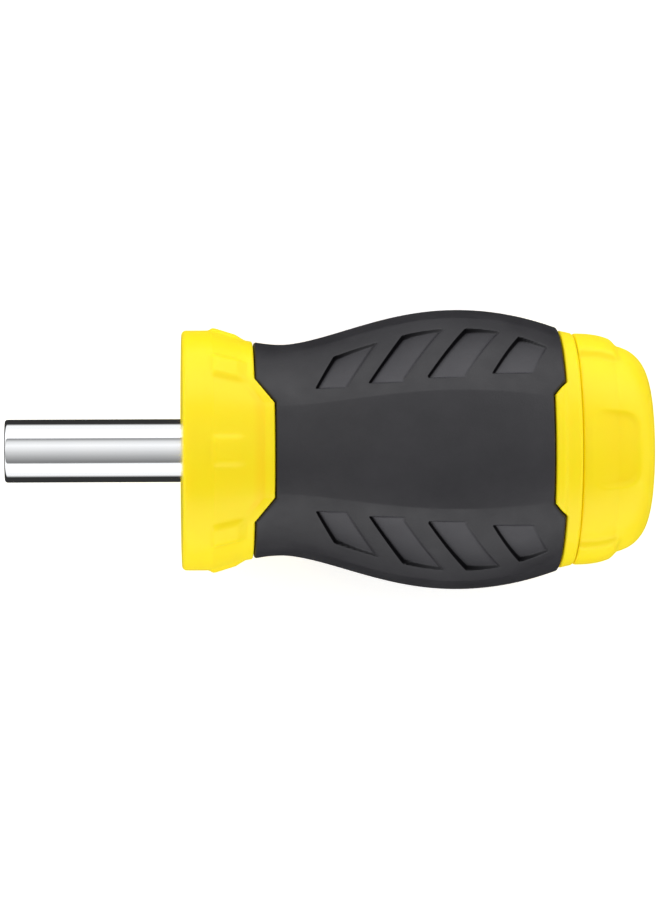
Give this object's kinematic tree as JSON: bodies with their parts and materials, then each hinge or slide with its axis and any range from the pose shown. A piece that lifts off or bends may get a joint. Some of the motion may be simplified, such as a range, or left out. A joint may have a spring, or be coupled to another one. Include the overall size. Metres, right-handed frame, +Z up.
{
  "type": "screwdriver",
  "caption": "Stubby multi-bit screwdriver with a magnetic hexagonal bit socket, a soft over-moulded grip and a pull-off end cap over a chamber of spare bits.",
  "frame": {"origin": "middle of the bottom of the whole tool, on the surface that the grip's lower panel touches", "axes": "+X along the tool's axis from the bit socket towards the end cap, +Z up through the grip's upper panel"},
  "size_m": [0.0974, 0.0422, 0.0422],
  "materials": {
    "yellow_plastic": "satin moulded hard plastic",
    "grip_rubber": "matt soft over-moulded rubber",
    "chrome_plate": "polished plated tube",
    "bright_steel": "drawn bright steel",
    "magnet": "plated magnet",
    "black_plastic": "matt moulded plastic",
    "bit_steel": "hardened grey steel",
    "seal_rubber": "smooth rubber ring"
  },
  "bodies": {
    "handle": {"handle_core": "yellow_plastic", "grip_sleeve": "grip_rubber", "holder_sleeve": "chrome_plate", "holder_shank": "bright_steel", "socket_magnet": "magnet", "socket_snap_ring": "bright_steel", "bit_carrier": "black_plastic", "bit_slotted_small": "bit_steel", "bit_slotted_large": "bit_steel", "bit_cross_small": "bit_steel", "bit_cross_large": "bit_steel", "bit_square_small": "bit_steel", "bit_square_large": "bit_steel"},
    "seal": {"cap_seal": "seal_rubber"},
    "cap": {"end_cap": "yellow_plastic"}
  },
  "joints": [
    {"name": "cap_turn", "type": "hinge", "parent": "handle", "child": "seal", "pos_m": [0.0369, 0, 0.0211], "axis": [1, 0, 0], "continuous": true},
    {"name": "cap_pull", "type": "slide", "parent": "seal", "child": "cap", "axis": [1, 0, 0], "range_m": [0, 0.032]}
  ]
}
